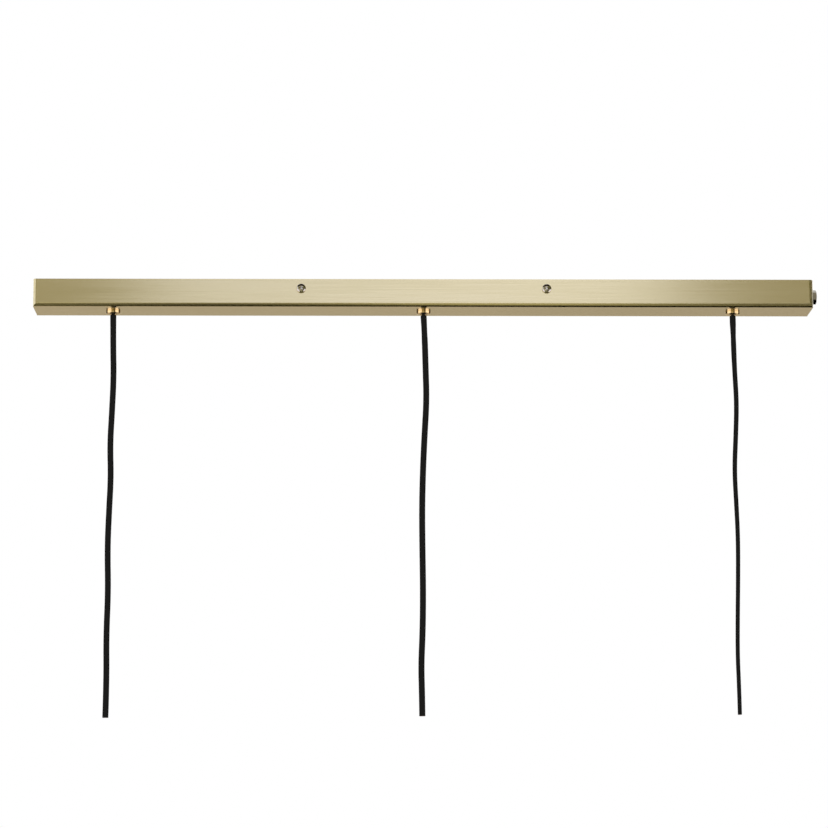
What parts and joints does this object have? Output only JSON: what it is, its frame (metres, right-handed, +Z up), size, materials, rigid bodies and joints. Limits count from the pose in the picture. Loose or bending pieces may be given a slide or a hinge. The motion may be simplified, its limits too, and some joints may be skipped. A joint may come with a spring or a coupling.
{
  "type": "linear pendant canopy with hanging cords",
  "caption": "Long brushed-brass ceiling bar of folded sheet with domed outlets, each with a flat black textile cord hanging free, cut ready for a lamp holder.",
  "frame": {"origin": "in the ceiling plane, at the middle of the ceiling bracket's top face", "axes": "+X along the bar towards the supply gland, -Y towards the face seen in the picture, +Z up towards the ceiling"},
  "size_m": [0.8074, 0.0594, 0.4473],
  "materials": {
    "brushed_brass": "pale brass plate on sheet steel, fine lengthwise brushing under clear lacquer",
    "polished_brass": "turned and polished brass",
    "raw_brass": "plain machined brass",
    "polished_nickel": "bright nickel plate",
    "zinc_plate": "bright zinc plate on steel",
    "black_nylon": "moulded nylon",
    "white_nylon": "moulded natural nylon",
    "black_braid": "woven black braid",
    "blue_pvc": "extruded insulation",
    "brown_pvc": "extruded insulation",
    "earth_pvc": "extruded green and yellow insulation",
    "copper_strand": "bare stranded copper",
    "tinned_copper": "tin-plated copper",
    "black_rubber": "moulded rubber"
  },
  "bodies": {
    "canopy": {"canopy_tray": "brushed_brass", "ceiling_bracket": "zinc_plate", "bracket_weld_nuts": "zinc_plate", "bared_core_ends": "copper_strand", "terminal_block": "white_nylon", "terminal_sleeves": "raw_brass", "terminal_screws": "zinc_plate", "block_screws": "zinc_plate", "earth_lug": "tinned_copper", "earth_washer": "zinc_plate", "earth_screw": "zinc_plate", "earth_core": "earth_pvc", "inlet_body": "polished_nickel", "inlet_seal": "black_rubber", "inlet_washer": "zinc_plate", "inlet_locknut": "zinc_plate", "left_ferrule": "polished_brass", "left_bush": "black_nylon", "left_star_washer": "zinc_plate", "left_locknut": "zinc_plate", "left_cord_stop": "white_nylon", "left_cord_tail": "black_braid", "left_neutral_core": "blue_pvc", "left_live_core": "brown_pvc", "centre_ferrule": "polished_brass", "centre_bush": "black_nylon", "centre_star_washer": "zinc_plate", "centre_locknut": "zinc_plate", "centre_cord_stop": "white_nylon", "centre_cord_tail": "black_braid", "centre_neutral_core": "blue_pvc", "centre_live_core": "brown_pvc", "right_ferrule": "polished_brass", "right_bush": "black_nylon", "right_star_washer": "zinc_plate", "right_locknut": "zinc_plate", "right_cord_stop": "white_nylon", "right_cord_tail": "black_braid", "right_neutral_core": "blue_pvc", "right_live_core": "brown_pvc"},
    "front_left_screw": {"front_left_cover_screw": "polished_nickel"},
    "front_right_screw": {"front_right_cover_screw": "polished_nickel"},
    "rear_left_screw": {"rear_left_cover_screw": "polished_nickel"},
    "rear_right_screw": {"rear_right_cover_screw": "polished_nickel"},
    "left_clamp_screw": {"left_stop_screw": "zinc_plate"},
    "centre_clamp_screw": {"centre_stop_screw": "zinc_plate"},
    "right_clamp_screw": {"right_stop_screw": "zinc_plate"},
    "left_hanging_cord": {"left_cord": "black_braid"},
    "centre_hanging_cord": {"centre_cord": "black_braid"},
    "right_hanging_cord": {"right_cord": "black_braid"},
    "inlet_clamp_nut": {"inlet_nut": "polished_nickel"}
  },
  "joints": [
    {"name": "front_left_screw_turn", "type": "hinge", "parent": "canopy", "child": "front_left_screw", "pos_m": [-0.126, -0.0261, -0.01], "axis": [0, -1, 0], "continuous": true},
    {"name": "front_right_screw_turn", "type": "hinge", "parent": "canopy", "child": "front_right_screw", "pos_m": [0.126, -0.0261, -0.01], "axis": [0, -1, 0], "continuous": true},
    {"name": "rear_left_screw_turn", "type": "hinge", "parent": "canopy", "child": "rear_left_screw", "pos_m": [-0.126, 0.0261, -0.01], "axis": [0, 1, 0], "continuous": true},
    {"name": "rear_right_screw_turn", "type": "hinge", "parent": "canopy", "child": "rear_right_screw", "pos_m": [0.126, 0.0261, -0.01], "axis": [0, 1, 0], "continuous": true},
    {"name": "left_clamp_screw_turn", "type": "hinge", "parent": "canopy", "child": "left_clamp_screw", "pos_m": [-0.32, -0.006, -0.0195], "axis": [0, -1, 0], "continuous": true},
    {"name": "centre_clamp_screw_turn", "type": "hinge", "parent": "canopy", "child": "centre_clamp_screw", "pos_m": [0, -0.006, -0.0195], "axis": [0, -1, 0], "continuous": true},
    {"name": "right_clamp_screw_turn", "type": "hinge", "parent": "canopy", "child": "right_clamp_screw", "pos_m": [0.32, -0.006, -0.0195], "axis": [0, -1, 0], "continuous": true},
    {"name": "left_cord_swing", "type": "hinge", "parent": "canopy", "child": "left_hanging_cord", "pos_m": [-0.32, 0, -0.03185], "axis": [1, 0, 0], "range_deg": [-30, 30]},
    {"name": "centre_cord_swing", "type": "hinge", "parent": "canopy", "child": "centre_hanging_cord", "pos_m": [0, 0, -0.03185], "axis": [1, 0, 0], "range_deg": [-30, 30]},
    {"name": "right_cord_swing", "type": "hinge", "parent": "canopy", "child": "right_hanging_cord", "pos_m": [0.32, 0, -0.03185], "axis": [1, 0, 0], "range_deg": [-30, 30]},
    {"name": "inlet_nut_turn", "type": "hinge", "parent": "canopy", "child": "inlet_clamp_nut", "pos_m": [0.4049, 0, -0.013], "axis": [1, 0, 0], "continuous": true}
  ]
}
